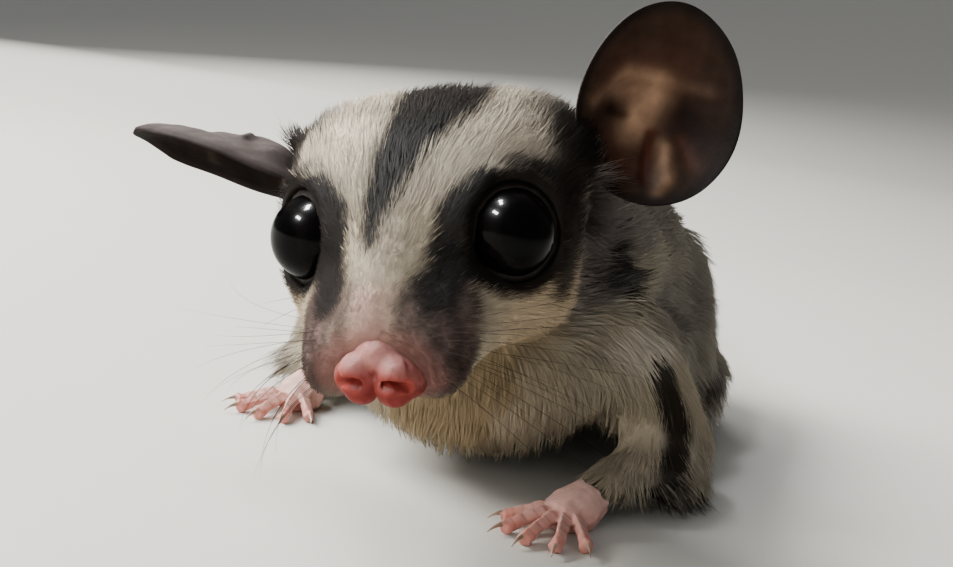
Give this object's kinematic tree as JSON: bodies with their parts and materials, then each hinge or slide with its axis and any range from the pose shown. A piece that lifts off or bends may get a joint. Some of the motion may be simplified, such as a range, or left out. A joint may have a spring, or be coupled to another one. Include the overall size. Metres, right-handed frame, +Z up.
{
  "type": "sugar glider",
  "caption": "Sugar glider crouched on all fours: striped cream and grey head turned and tilted, big black eyes, large thin ears, folded gliding membrane, long bushy tail laid in a curve.",
  "frame": {"origin": "on the floor, at the middle of the animal's outer box", "axes": "+X towards the animal's left, +Y from the head towards the tail, +Z up from the floor"},
  "size_m": [0.133, 0.2479, 0.0527],
  "materials": {
    "coat": "soft dense fur, grey with cream and near-black markings",
    "ear_skin": "thin bare skin, dark brown, warm where light comes through",
    "bare_skin": "bare pink skin, soft sheen",
    "nose_skin": "moist pink skin, fine grain",
    "eye": "wet gloss black"
  },
  "bodies": {
    "root": {"head": "coat", "nose": "nose_skin", "eye_left": "eye", "ear_left": "ear_skin", "eye_right": "eye", "ear_right": "ear_skin", "neck": "coat", "torso": "coat", "foreleg_left": "coat", "forepaw_left": "bare_skin", "hindleg_left": "coat", "hindpaw_left": "bare_skin", "membrane_left": "coat", "foreleg_right": "coat", "forepaw_right": "bare_skin", "hindleg_right": "coat", "hindpaw_right": "bare_skin", "membrane_right": "coat", "tail_1": "coat", "tail_2": "coat", "tail_3": "coat", "tail_4": "coat", "tail_5": "coat"}
  },
  "joints": []
}
